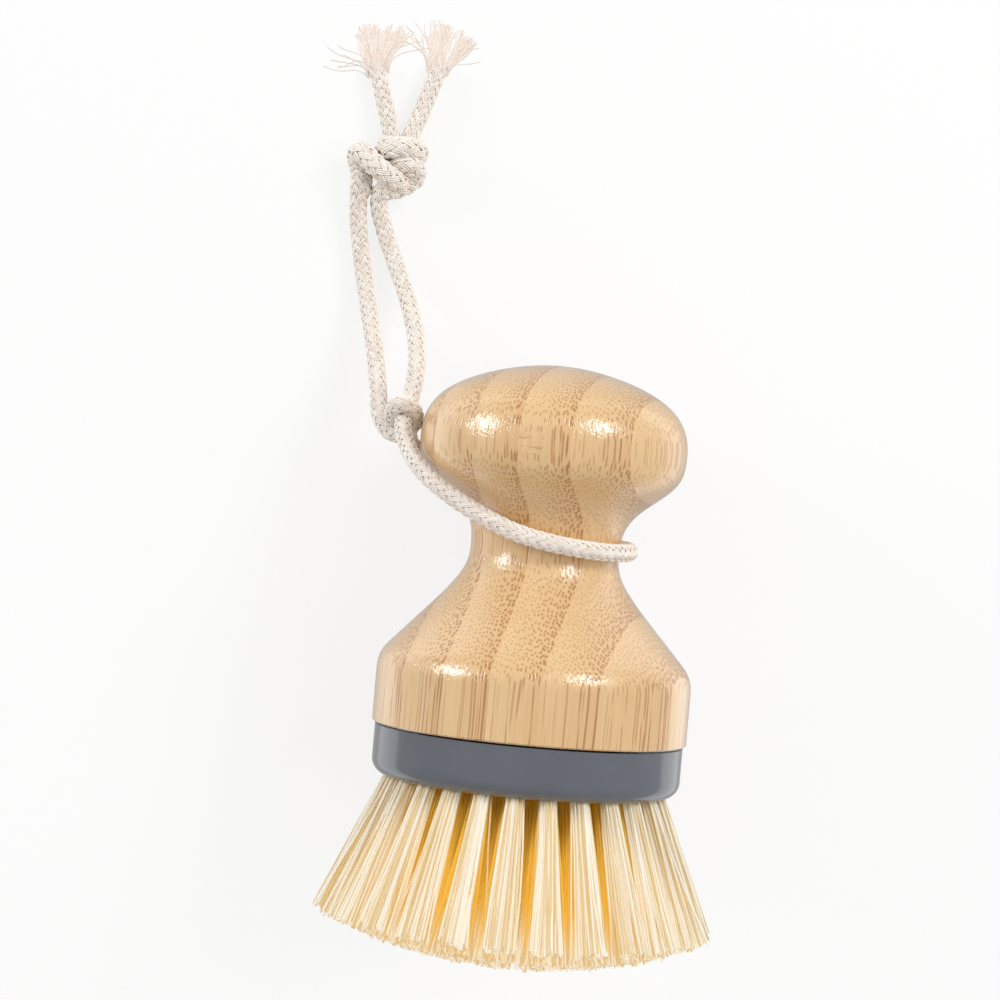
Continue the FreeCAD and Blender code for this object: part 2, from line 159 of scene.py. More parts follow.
@dataclass(frozen=True)
class LaminatedBamboo:
    """Strips of bamboo glued side by side, turned and lacquered.

    The fibres run along the brush's axis. The vessels among them show as dots where the turning cuts across
    them and as lines where it runs along them, and they crowd to one side of each strip.

    Args:
        light: The paler tone of the ground.
        deep: The darker tone of the ground.
        pore: The tone of the vessels.
        strip_width: Width of one glued strip, mm.
        strip_yaw: Turn of the strips about the brush's axis, degrees.
        strip_start: How far across its strip the axis lies, as a share of the width.
        strip_jump: How far the pattern may jump from one strip to the next, mm.
        crowding: Power with which the vessels crowd to the strip's far side.
        pore_pitch: Distance between vessels across the fibres, mm.
        pore_scatter: How unevenly the vessels lie.
        pore_run: Length over which a vessel wanders, mm.
        pore_wander: How far it wanders to the side, mm.
        bend_width: Width in which the vessels wander together, mm.
        pore_reach: Radius of a vessel on the strip's near and far side, as a share of the pitch.
        pore_core: The paler middle of a vessel, as a share of its radius.
        pore_hollow: How dark that middle is.
        pore_odd: How dark the faintest vessel is beside the strongest.
        pore_fade: How dark the vessels on the strip's near side are.
        node_at: Where the cane's node shows, across the strips and up the axis, mm.
        node_half: Half its width and height, mm.
        node_uneven: How far its edge and its lines wander, mm.
        node_scale: Waves of that wandering per mm.
        node_pitch: Half the distance between its lines, mm.
        node_line: Half the width of a line, mm.
        node_dark: How dark a line and the ground between the lines are.
        node_break: Noise levels between which a line fades in.
        fibre_scale: Fibres per mm across and along the strips.
        cloud_scale: Broad clouds per mm.
        strip_share: How much a strip's own tone darkens it.
        late_share: How much darker a strip's far side is.
        cloud_share: How much the clouds darken the ground.
        ground_range: Sums of fibre, strip and cloud that give the light and the deep tone.
        roughness: Of the wood under its lacquer, on the ground and in the vessels.
        grain_strength: How strongly the fibres and vessels tilt the surface.
        grain_depth: Depth of the grain, mm.
        coat_ior: The lacquer's index of refraction, high so that its highlights are as white as seen.
        coat_roughness: The lacquer's roughness.
        coat_scale: Waves of the lacquer per mm.
        coat_pits: How far the lacquer sinks into the vessels.
        coat_strength: How strongly the lacquer's waves break up its highlights.
        coat_depth: Depth of the waves, mm.
    """

    light: str = "#EBC793"
    deep: str = "#D3A364"
    pore: str = "#A5642A"
    strip_width: float = 9.23
    strip_yaw: float = 21.7
    strip_start: float = 0.847
    strip_jump: tuple[float, float, float] = (7.0, 31.0, 90.0)
    crowding: float = 1.6
    pore_pitch: float = 0.7
    pore_scatter: float = 0.65
    pore_run: float = 26.0
    pore_wander: float = 1.6
    bend_width: float = 5.0
    pore_reach: tuple[float, float] = (0.26, 0.45)
    pore_core: float = 0.5
    pore_hollow: float = 0.55
    pore_odd: float = 0.75
    pore_fade: float = 0.5
    node_at: tuple[float, float] = (3.75, 64.2)
    node_half: tuple[float, float] = (2.3, 2.0)
    node_uneven: float = 2.4
    node_scale: float = 0.5
    node_pitch: float = 0.83
    node_line: float = 0.3
    node_dark: tuple[float, float] = (0.6, 0.1)
    node_break: tuple[float, float] = (0.42, 0.6)
    fibre_scale: tuple[float, float, float] = (2.6, 2.6, 0.03)
    cloud_scale: float = 0.07
    strip_share: float = 0.14
    late_share: float = 0.35
    cloud_share: float = 0.4
    ground_range: tuple[float, float] = (0.55, 1.55)
    roughness: tuple[float, float] = (0.42, 0.55)
    grain_strength: float = 0.25
    grain_depth: float = 0.03
    coat_ior: float = 1.7
    coat_roughness: float = 0.07
    coat_scale: float = 1.9
    coat_pits: float = 0.6
    coat_strength: float = 0.9
    coat_depth: float = 0.08

    def strips(
        self, tree: bpy.types.NodeTree, turned: bpy.types.Node
    ) -> tuple[bpy.types.Node, bpy.types.Node, bpy.types.Node]:
        """Divides the wood into its glued strips.

        Args:
            tree: The material's node tree.
            turned: The place in mm, turned with the strips.

        Returns:
            Each strip's own random tone, the place jumped from strip to strip, and how far a place is towards
            its strip's far side.
        """
        place = add_node(tree, "SeparateXYZ", {0: turned})
        count = {0: place.outputs["X"], 1: 1 / self.strip_width, 2: self.strip_start}
        across = add_node(tree, "Math", count, operation="MULTIPLY_ADD")
        strip = add_node(tree, "Math", {0: across}, operation="FLOOR")
        share = add_node(tree, "Math", {0: across}, operation="FRACT")
        tone = add_node(tree, "TexWhiteNoise", {"W": strip}, noise_dimensions="1D")
        jump = {0: tone.outputs["Color"], 1: self.strip_jump, 2: turned}
        jumped = add_node(tree, "VectorMath", jump, operation="MULTIPLY_ADD")
        late = add_node(tree, "Math", {0: share, 1: self.crowding}, operation="POWER")
        return tone, jumped, late

    def vessels(
        self, tree: bpy.types.NodeTree, jumped: bpy.types.Node, late: bpy.types.Node
    ) -> bpy.types.Node:
        """Draws the vessels, each darker at its rim than in its middle.

        Args:
            tree: The material's node tree.
            jumped: The place in mm, jumped from strip to strip.
            late: How far a place is towards its strip's far side.

        Returns:
            The node whose first output is how dark a place is.
        """
        bend = (1 / self.bend_width, 1 / self.bend_width, 1 / self.pore_run)
        bends = add_node(tree, "Mapping", {"Vector": jumped, "Scale": bend})
        wander = add_node(tree, "TexNoise", {"Vector": bends, "Scale": 1.0, "Detail": 1.0})
        swing = {0: wander.outputs["Color"], 1: (self.pore_wander, self.pore_wander, 0.0), 2: jumped}
        wandered = add_node(tree, "VectorMath", swing, operation="MULTIPLY_ADD")
        cells = {"Vector": wandered, "Scale": 1 / self.pore_pitch, "Randomness": self.pore_scatter}
        vessel = add_node(tree, "TexVoronoi", cells, voronoi_dimensions="2D", feature="F1")
        near, far = self.pore_reach
        reach = add_node(tree, "MapRange", {"Value": late, "To Min": near, "To Max": far})
        inner = add_node(tree, "Math", {0: reach, 1: self.pore_core}, operation="MULTIPLY")
        edge = {"Value": vessel, "From Min": inner, "From Max": reach, "To Min": 1.0, "To Max": 0.0}
        dark = add_node(tree, "MapRange", edge, interpolation_type="SMOOTHSTEP")
        middle = {"Value": vessel, "From Max": inner, "To Min": self.pore_hollow}
        hollow = add_node(tree, "MapRange", middle, interpolation_type="SMOOTHSTEP")
        odd = add_node(tree, "MapRange", {"Value": vessel.outputs["Color"], "To Min": self.pore_odd})
        crowd = add_node(tree, "MapRange", {"Value": late, "To Min": self.pore_fade})
        for share in (odd, crowd, hollow):
            dark = add_node(tree, "Math", {0: dark, 1: share}, operation="MULTIPLY")
        return dark

    def cane_node(
        self, tree: bpy.types.NodeTree, turned: bpy.types.Node, dark: bpy.types.Node
    ) -> bpy.types.Node:
        """Breaks off the vessels at the one node of the cane that shows, on the knob's front.

        Args:
            tree: The material's node tree.
            turned: The place in mm, turned with the strips.
            dark: How dark the vessels are.

        Returns:
            The node whose first output is how dark vessels and cane node are together.
        """
        place = add_node(tree, "SeparateXYZ", {0: turned})
        uneven = add_node(tree, "TexNoise", {"Vector": turned, "Scale": self.node_scale, "Detail": 3.0})
        wave = {0: uneven, 1: self.node_uneven, 2: place.outputs["Z"]}
        height = add_node(tree, "Math", wave, operation="MULTIPLY_ADD")
        middle = self.node_at[1] + self.node_uneven / 2
        width = {0: place.outputs["X"], 1: self.node_at[0], 2: self.node_half[0]}
        inside = add_node(tree, "Math", width, operation="COMPARE")
        high = add_node(tree, "Math", {0: height, 1: middle, 2: self.node_half[1]}, operation="COMPARE")
        front = add_node(tree, "Math", {0: place.outputs["Y"], 1: 0.0}, operation="LESS_THAN")
        for limit in (high, front):
            inside = add_node(tree, "Math", {0: inside, 1: limit}, operation="MULTIPLY")
        swing = add_node(tree, "Math", {0: height, 1: self.node_pitch}, operation="PINGPONG")
        line_dark, ground_dark = self.node_dark
        edge = {"Value": swing, "From Max": self.node_line, "To Min": line_dark, "To Max": ground_dark}
        line = add_node(tree, "MapRange", edge, interpolation_type="SMOOTHSTEP")
        faint, full = self.node_break
        broken = add_node(tree, "MapRange", {"Value": uneven, "From Min": faint, "From Max": full})
        crossed = add_node(tree, "Math", {0: line, 1: broken}, operation="MULTIPLY")
        return add_node(tree, "Mix", {0: inside, NUMBER_A: dark, NUMBER_B: crossed}, data_type="FLOAT")

    def build(self) -> bpy.types.Material:
        """Makes the lacquered bamboo.

        Returns:
            The material.
        """
        material, tree = new_material("lacquered bamboo")
        turn = (0.0, 0.0, math.radians(self.strip_yaw))
        turned = add_node(tree, "Mapping", {"Vector": brush_space(tree), "Rotation": turn})
        tone, jumped, late = self.strips(tree, turned)
        dark = self.cane_node(tree, turned, self.vessels(tree, jumped, late))
        # Ground: fine pale and dark fibres along the axis, deeper towards one side of each strip.
        lines = add_node(tree, "Mapping", {"Vector": jumped, "Scale": self.fibre_scale})
        fibre = add_node(tree, "TexNoise", {"Vector": lines, "Scale": 1.0, "Detail": 4.0, "Roughness": 0.6})
        cloud = add_node(tree, "TexNoise", {"Vector": turned, "Scale": self.cloud_scale, "Detail": 2.0})
        blend = fibre
        for source, share in ((tone, self.strip_share), (late, self.late_share), (cloud, self.cloud_share)):
            blend = add_node(tree, "Math", {0: source, 1: share, 2: blend}, operation="MULTIPLY_ADD")
        palest, deepest = self.ground_range
        level = add_node(tree, "MapRange", {"Value": blend, "From Min": palest, "From Max": deepest})
        tones = {0: level, COLOUR_A: linear(self.light), COLOUR_B: linear(self.deep)}
        ground = add_node(tree, "Mix", tones, data_type="RGBA").outputs[MIXED_COLOUR]
        marks = {0: dark, COLOUR_A: ground, COLOUR_B: linear(self.pore)}
        colour = add_node(tree, "Mix", marks, data_type="RGBA").outputs[MIXED_COLOUR]
        # Lacquer: a glossy coat that sinks a little into the vessels, which breaks up its highlights.
        smooth, rough = self.roughness
        dull = add_node(tree, "MapRange", {"Value": dark, "To Min": smooth, "To Max": rough})
        relief = add_node(tree, "Math", {0: fibre, 1: dark}, operation="SUBTRACT")
        grain = {"Height": relief, "Strength": self.grain_strength, "Distance": self.grain_depth * MM}
        waves = add_node(tree, "TexNoise", {"Vector": turned, "Scale": self.coat_scale, "Detail": 2.0})
        pitted = add_node(tree, "Math", {0: dark, 1: -self.coat_pits, 2: waves}, operation="MULTIPLY_ADD")
        coat = {"Height": pitted, "Strength": self.coat_strength, "Distance": self.coat_depth * MM}
        close_material(
            tree,
            {
                "Base Color": colour,
                "Roughness": dull,
                "Normal": add_node(tree, "Bump", grain),
                "Coat Weight": 1.0,
                "Coat IOR": self.coat_ior,
                "Coat Roughness": self.coat_roughness,
                "Coat Normal": add_node(tree, "Bump", coat),
            },
        )
        return material


@dataclass(frozen=True)
class GreyPolypropylene:
    """Moulded blue-grey plastic: glossy, with a faint unevenness left by the mould.

    Args:
        light: The paler tone.
        deep: The darker tone.
        cloud_scale: Clouds in the colour per mm.
        skin_scale: Changes of gloss per mm.
        roughness: The glossiest and the dullest places.
        specular: Strength of the reflections.
        wave_strength: How strongly the mould's unevenness shows.
        wave_depth: Depth of the unevenness, mm.
    """

    light: str = "#64686F"
    deep: str = "#595D65"
    cloud_scale: float = 0.12
    skin_scale: float = 3.0
    roughness: tuple[float, float] = (0.1, 0.16)
    specular: float = 0.8
    wave_strength: float = 0.15
    wave_depth: float = 0.1

    def build(self) -> bpy.types.Material:
        """Makes the plastic.

        Returns:
            The material.
        """
        material, tree = new_material("grey polypropylene")
        here = brush_space(tree)
        cloud = add_node(tree, "TexNoise", {"Vector": here, "Scale": self.cloud_scale, "Detail": 3.0})
        tones = {0: cloud, COLOUR_A: linear(self.light), COLOUR_B: linear(self.deep)}
        colour = add_node(tree, "Mix", tones, data_type="RGBA").outputs[MIXED_COLOUR]
        skin = add_node(tree, "TexNoise", {"Vector": here, "Scale": self.skin_scale, "Detail": 2.0})
        glossy, dull = self.roughness
        gloss = add_node(tree, "MapRange", {"Value": skin, "To Min": glossy, "To Max": dull})
        wave = {"Height": cloud, "Strength": self.wave_strength, "Distance": self.wave_depth * MM}
        bump = add_node(tree, "Bump", wave)
        surface = {"Base Color": colour, "Roughness": gloss, "Normal": bump}
        close_material(tree, surface | {"Specular IOR Level": self.specular})
        return material


@dataclass(frozen=True)
class NylonFilament:
    """Cream filament, pale, with painted light: deep between the tufts its colour is painted the gold that
    light takes through many filaments.

    Args:
        pale: The palest filament.
        warm: The warmest filament.
        painted_gold_light: Painted light: the gold of light come through many filaments, deep between the
            tufts.
        odd_range: Share of the filaments that are palest, and share past which they are warmest.
        ring: Radius of the outer ring of tufts at the plate, mm.
        spread: How much the ring widens with depth.
        painted_gold_from: How far inside the ring the painted gold begins and is full, mm.
        trim: Depth of the trimmed tips, where the painted gold fades out, mm.
        trim_share: Share of that depth above which the painted gold is full.
        roughness: The filament's roughness.
    """

    pale: str = "#F5EFE0"
    warm: str = "#DFC184"
    painted_gold_light: str = "#EEC84C"
    odd_range: tuple[float, float] = (0.2, 0.95)
    ring: float = 25.1
    spread: float = 0.376
    painted_gold_from: tuple[float, float] = (-0.5, 4.5)
    trim: float = 31.5
    trim_share: float = 0.6
    roughness: float = 0.35

    def build(self) -> bpy.types.Material:
        """Makes the filament.

        Returns:
            The material.
        """
        material, tree = new_material("nylon filament")
        place = add_node(tree, "SeparateXYZ", {0: brush_space(tree)})
        each = add_node(tree, "NewGeometry").outputs["Random Per Island"]
        mixture = {"Value": each, "From Min": self.odd_range[0], "From Max": self.odd_range[1]}
        odd = add_node(tree, "MapRange", mixture, interpolation_type="SMOOTHSTEP")
        tones = {0: odd, COLOUR_A: linear(self.pale), COLOUR_B: linear(self.warm)}
        plain = add_node(tree, "Mix", tones, data_type="RGBA").outputs[MIXED_COLOUR]
        # Painted light: away from the tips, filaments deep inside the outer ring are painted gold, the colour
        # of light that has come through many filaments.
        flat = add_node(tree, "CombineXYZ", {0: place.outputs["X"], 1: place.outputs["Y"]})
        radius = add_node(tree, "VectorMath", {0: flat}, operation="LENGTH").outputs["Value"]
        cone = {0: place.outputs["Z"], 1: -self.spread, 2: self.ring}
        ring = add_node(tree, "Math", cone, operation="MULTIPLY_ADD")
        inside = add_node(tree, "Math", {0: ring, 1: radius}, operation="SUBTRACT")
        depth = {"Value": inside, "From Min": self.painted_gold_from[0], "From Max": self.painted_gold_from[1]}
        deep = add_node(tree, "MapRange", depth, interpolation_type="SMOOTHSTEP")
        tips = {"Value": place.outputs["Z"], "From Min": -self.trim, "From Max": -self.trim * self.trim_share}
        shade = add_node(tree, "MapRange", tips, interpolation_type="SMOOTHSTEP")
        painted_gold_share = add_node(tree, "Math", {0: deep, 1: shade}, operation="MULTIPLY")
        gold = {0: painted_gold_share, COLOUR_A: plain, COLOUR_B: linear(self.painted_gold_light)}
        colour = add_node(tree, "Mix", gold, data_type="RGBA").outputs[MIXED_COLOUR]
        close_material(tree, {"Base Color": colour, "Roughness": self.roughness})
        return material


@dataclass(frozen=True)
class UndyedCotton:
    """Natural cotton yarn: matt, off-white, no two threads alike, with a soft edge from loose fibres.

    Args:
        name: What it is called.
        pale: The palest thread.
        warm: The warmest thread.
        fuzz_scale: Fibres in a thread's surface per mm.
        fuzz_share: How much the fibres change a thread's tone.
        fuzz_strength: How strongly the fibres tilt the surface.
        fuzz_depth: Depth of the fibres, mm.
        roughness: The yarn's roughness.
        sheen: Strength of the soft edge.
        sheen_roughness: Width of the soft edge.
    """

    name: str = "undyed cotton"
    pale: str = "#FFFCF6"
    warm: str = "#F6E7DA"
    fuzz_scale: float = 4.0
    fuzz_share: float = 0.6
    fuzz_strength: float = 0.5
    fuzz_depth: float = 0.06
    roughness: float = 0.9
    sheen: float = 0.25
    sheen_roughness: float = 0.5

    def build(self) -> bpy.types.Material:
        """Makes the cotton.

        Returns:
            The material.
        """
        material, tree = new_material(self.name)
        each = add_node(tree, "NewGeometry").outputs["Random Per Island"]
        here = add_node(tree, "TexCoord").outputs["Object"]
        fuzz = add_node(tree, "TexNoise", {"Vector": here, "Scale": self.fuzz_scale / MM, "Detail": 3.0})
        mixed = add_node(tree, "Math", {0: fuzz, 1: self.fuzz_share, 2: each}, operation="MULTIPLY_ADD")
        level = add_node(tree, "MapRange", {"Value": mixed, "From Max": 1 + self.fuzz_share})
        tones = {0: level, COLOUR_A: linear(self.pale), COLOUR_B: linear(self.warm)}
        colour = add_node(tree, "Mix", tones, data_type="RGBA").outputs[MIXED_COLOUR]
        fibres = {"Height": fuzz, "Strength": self.fuzz_strength, "Distance": self.fuzz_depth * MM}
        bump = add_node(tree, "Bump", fibres)
        surface = {"Base Color": colour, "Roughness": self.roughness, "Normal": bump}
        close_material(tree, surface | {"Sheen Weight": self.sheen, "Sheen Roughness": self.sheen_roughness})
        return material


@dataclass(frozen=True)
class PlatedSteel:
    """Zinc-plated steel: bright, with the fine streaks of drawn wire.

    Args:
        light: The brighter tone.
        deep: The darker tone.
        streak_scale: Streaks per mm across and along the brush's axis.
        roughness: The plating's roughness.
    """

    light: str = "#D4D4D2"
    deep: str = "#A9ABAC"
    streak_scale: tuple[float, float, float] = (4.0, 4.0, 0.6)
    roughness: float = 0.3

    def build(self) -> bpy.types.Material:
        """Makes the steel.

        Returns:
            The material.
        """
        material, tree = new_material("zinc-plated steel")
        streaks = add_node(tree, "Mapping", {"Vector": brush_space(tree), "Scale": self.streak_scale})
        drawn = add_node(tree, "TexNoise", {"Vector": streaks, "Scale": 1.0, "Detail": 3.0})
        tones = {0: drawn, COLOUR_A: linear(self.light), COLOUR_B: linear(self.deep)}
        colour = add_node(tree, "Mix", tones, data_type="RGBA").outputs[MIXED_COLOUR]
        close_material(tree, {"Base Color": colour, "Metallic": 1.0, "Roughness": self.roughness})
        return material


def dress(piece: bpy.types.Object, material: bpy.types.Material) -> None:
    """Gives a piece its one material.

    Args:
        piece: The piece.
        material: What it is made of.
    """
    piece.data.materials.clear()
    piece.data.materials.append(material)
    log.info("%s: %s", piece.name, material.name)


def threads(
    name: str, runs: list[list[Vector]], radius: float, sides: int, radii: list[list[float]] | None = None
) -> bpy.types.Object:
    """Makes one mesh of many thin round threads.

    Args:
        name: The piece's name.
        runs: The points of each thread, in metres.
        radius: The threads' radius, in metres.
        sides: The bevel's resolution, 0 for four sides.
        radii: Each point's share of the radius, if it isn't the same all along.

    Returns:
        The piece, smooth shaded.
    """
    curve = bpy.data.curves.new(name, "CURVE")
    curve.dimensions = "3D"
    curve.bevel_depth = radius
    curve.bevel_resolution = sides
    curve.use_fill_caps = True
    for number, run in enumerate(runs):
        spline = curve.splines.new("POLY")
        spline.points.add(len(run) - 1)
        spline.points.foreach_set("co", [c for p in run for c in (*p, 1.0)])
        if radii:
            spline.points.foreach_set("radius", radii[number])
    holder = bpy.data.objects.new(name, curve)
    mesh = bpy.data.meshes.new_from_object(holder)
    bpy.data.objects.remove(holder)
    bpy.data.curves.remove(curve)
    mesh.shade_smooth()
    piece = bpy.data.objects.new(name, mesh)
    bpy.context.collection.objects.link(piece)
    log.info("%s: %d threads, %d faces", name, len(runs), len(mesh.polygons))
    return piece


@dataclass
class TuftRow:
    """One ring of tufts: each a bundle of filaments that leaves its hole narrow and spreads.

    Args:
        name: The piece's name.
        nodes: The construction model's nodes that it stands for.
        count: How many tufts the ring has.
        root_radius: The ring's radius on the plate's face, mm.
        filaments: Filaments in one tuft.
        bundle_tip: Radius of a tuft at its tips, mm.
        bundle_root: Radius of a tuft at the plate, mm.
        outer_root: The outermost ring's radius on the plate's face, mm.
        outer_splay: How far the outermost ring leans outwards, degrees.
        middle_depth: Depth of the trim on the brush's axis, mm.
        edge_rise: How much shallower the trim is on the outermost ring, mm.
        locks: Locks that a tuft is parted into.
        valley: How far the tuft draws in between two locks, as a share of its radius.
        sunk: How far a filament goes on into its hole, mm.
        bends: Where a filament bends, as shares of its length.
        flare: Power with which a tuft widens along its length.
        trim_scatter: Unevenness of the trim, mm.
        turn_scatter: How far a filament may be turned from its place in the tuft, radians.
        stray_share: Share of the filaments that stand out of their tuft.
        stray_reach: How much wider than the tuft such a filament ends, least and most.
        tip_scatter: The same for every other filament.
        lean: How far a filament leans to a side at its tip, mm.
        bow: How far a filament bows to a side at its middle, mm.
        thickness: Radius of a filament, mm.
        lowest: Height above the table that a filament's middle keeps, mm.
    """

    name: str
    nodes: tuple[str, ...]
    count: int
    root_radius: float
    filaments: int = 84
    bundle_tip: float = 3.4
    bundle_root: float = 1.7
    outer_root: float = 25.1
    outer_splay: float = 20.6
    middle_depth: float = 33.5
    edge_rise: float = 7.1
    locks: int = 6
    valley: float = 0.2
    sunk: float = 1.5
    bends: tuple[float, ...] = (0.3, 0.65)
    flare: float = 1.15
    trim_scatter: float = 0.3
    turn_scatter: float = 0.3
    stray_share: float = 0.02
    stray_reach: tuple[float, float] = (0.3, 1.3)
    tip_scatter: tuple[float, float] = (-0.08, 0.04)
    lean: float = 0.24
    bow: float = 0.2
    thickness: float = 0.18
    lowest: float = 0.2

    def filament(self, number: int, azimuth: float, chance: random.Random) -> list[Vector]:
        """Lays one filament.

        Args:
            number: Which filament of its tuft.
            azimuth: Where the tuft sits on its ring, radians.
            chance: The row's own seeded numbers.

        Returns:
            Its points as the brush lies, metres.
        """
        part = self.root_radius / self.outer_root
        splay = math.radians(self.outer_splay) * part
        out = Vector((math.sin(azimuth), math.cos(azimuth), 0.0))
        along = out * math.sin(splay) - Vector((0, 0, math.cos(splay)))
        side = Vector((math.cos(azimuth), -math.sin(azimuth), 0.0))
        rise = side.cross(along)
        depth = self.middle_depth - self.edge_rise * part * part + chance.gauss(0, self.trim_scatter)
        length = depth / math.cos(splay)
        share = math.sqrt((number + 0.5) / self.filaments)
        turn = number * GOLDEN_TURN + chance.uniform(-self.turn_scatter, self.turn_scatter)
        crest = 1 - self.valley * (0.5 - 0.5 * math.cos(self.locks * turn))
        cross = (rise * math.cos(turn) + side * math.sin(turn)) * crest
        widening = self.stray_reach if chance.random() < self.stray_share else self.tip_scatter
        tip = self.bundle_tip * (1.0 + chance.uniform(*widening))
        lean = side * chance.gauss(0, self.lean) + rise * chance.gauss(0, self.lean)
        bow = side * chance.gauss(0, self.bow) + rise * chance.gauss(0, self.bow)
        points = []
        for step in (-self.sunk / length, 0.0, *self.bends, 1.0):
            free = max(step, 0.0)
            grow = free**self.flare
            spread = cross * share * (self.bundle_root + (tip - self.bundle_root) * grow)
            straight = out * self.root_radius + along * length * step
            local = straight + spread + lean * grow + bow * math.sin(math.pi * free)
            point = BRUSH_PLACE @ (local * MM)
            point.z = max(point.z, self.lowest * MM)
            points.append(point)
        return points

    def build(self, seed: int) -> bpy.types.Object:
        """Makes the row's filaments as one piece.

        Args:
            seed: Start of the row's own random numbers.

        Returns:
            The piece.
        """
        chance = random.Random(seed)
        runs = []
        for tuft in range(self.count):
            azimuth = 2 * math.pi * (tuft + 0.5) / self.count
            runs += [self.filament(number, azimuth, chance) for number in range(self.filaments)]
        piece = threads(self.name, runs, self.thickness * MM, 1)
        # Clear filament lets the lamps' light through to the tufts behind it.
        piece.visible_shadow = False
        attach(piece, Body.BRUSH.value)
        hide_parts(*self.nodes)
        return piece


# The cord's route as it lies, metres.
CORD_ROUTE = (
    # left tail, from its frayed end to the end knot
    (-0.0393, 0.1063, 0.0019), (-0.0377, 0.1014, 0.0020), (-0.0364, 0.0971, 0.0026), (-0.0356, 0.0942, 0.0034),
    # through the end knot
    (-0.0351, 0.0920, 0.0032), (-0.0343, 0.0893, 0.0024), (-0.0331, 0.0869, 0.0034), (-0.0339, 0.0867, 0.0062),
    (-0.0364, 0.0879, 0.0076), (-0.0391, 0.0899, 0.0076), (-0.0413, 0.0918, 0.0066), (-0.0424, 0.0908, 0.0040),
    (-0.0412, 0.0884, 0.0030), (-0.0408, 0.0856, 0.0036),
    # left strand
    (-0.0413, 0.0829, 0.0036), (-0.0411, 0.0795, 0.0028), (-0.0403, 0.0738, 0.0020), (-0.0387, 0.0666, 0.0024),
    (-0.0369, 0.0594, 0.0046), (-0.0352, 0.0522, 0.0084), (-0.0340, 0.0459, 0.0132),
    # half knot: under the neck loop, over it as an arch and behind it again
    (-0.0336, 0.0418, 0.0158), (-0.0312, 0.0388, 0.0184), (-0.0287, 0.0392, 0.0198), (-0.0268, 0.0410, 0.0204),
    (-0.0267, 0.0437, 0.0222), (-0.0285, 0.0460, 0.0246), (-0.0309, 0.0447, 0.0230), (-0.0312, 0.0420, 0.0190),
    (-0.0292, 0.0403, 0.0160), (-0.0271, 0.0376, 0.0156),
    # neck loop, behind the waist and round its right side to the front
    (-0.0238, 0.0318, 0.0158), (-0.0188, 0.0276, 0.0146), (-0.0128, 0.0240, 0.0132), (-0.0064, 0.0214, 0.0116),
    (0.0006, 0.0200, 0.0109), (0.0085, 0.0199, 0.0132), (0.0145, 0.0206, 0.0194), (0.0166, 0.0216, 0.0279),
    (0.0144, 0.0224, 0.0363), (0.0084, 0.0232, 0.0426), (0.0008, 0.0242, 0.0447), (-0.0062, 0.0254, 0.0436),
    (-0.0122, 0.0274, 0.0412), (-0.0182, 0.0302, 0.0392), (-0.0236, 0.0334, 0.0363), (-0.0270, 0.0366, 0.0314),
    # up through the half knot
    (-0.0286, 0.0397, 0.0258), (-0.0290, 0.0420, 0.0230), (-0.0284, 0.0445, 0.0206), (-0.0275, 0.0474, 0.0184),
    # right strand
    (-0.0270, 0.0536, 0.0130), (-0.0286, 0.0606, 0.0078), (-0.0315, 0.0675, 0.0038), (-0.0347, 0.0744, 0.0021),
    (-0.0368, 0.0800, 0.0029), (-0.0374, 0.0826, 0.0036),
    # back through the end knot, twice round both tails
    (-0.0366, 0.0849, 0.0044), (-0.0340, 0.0852, 0.0040), (-0.0310, 0.0869, 0.0032), (-0.0304, 0.0889, 0.0046),
    (-0.0317, 0.0902, 0.0066), (-0.0338, 0.0904, 0.0062), (-0.0347, 0.0909, 0.0030), (-0.0325, 0.0907, 0.0018),
    (-0.0302, 0.0918, 0.0030), (-0.0308, 0.0932, 0.0060), (-0.0333, 0.0934, 0.0076), (-0.0360, 0.0931, 0.0074),
    (-0.0372, 0.0926, 0.0046), (-0.0352, 0.0921, 0.0019), (-0.0327, 0.0932, 0.0024),
    # right tail to its frayed end
    (-0.0323, 0.0953, 0.0034), (-0.0310, 0.0985, 0.0026), (-0.0296, 0.1029, 0.0020), (-0.0283, 0.1073, 0.0019),
)


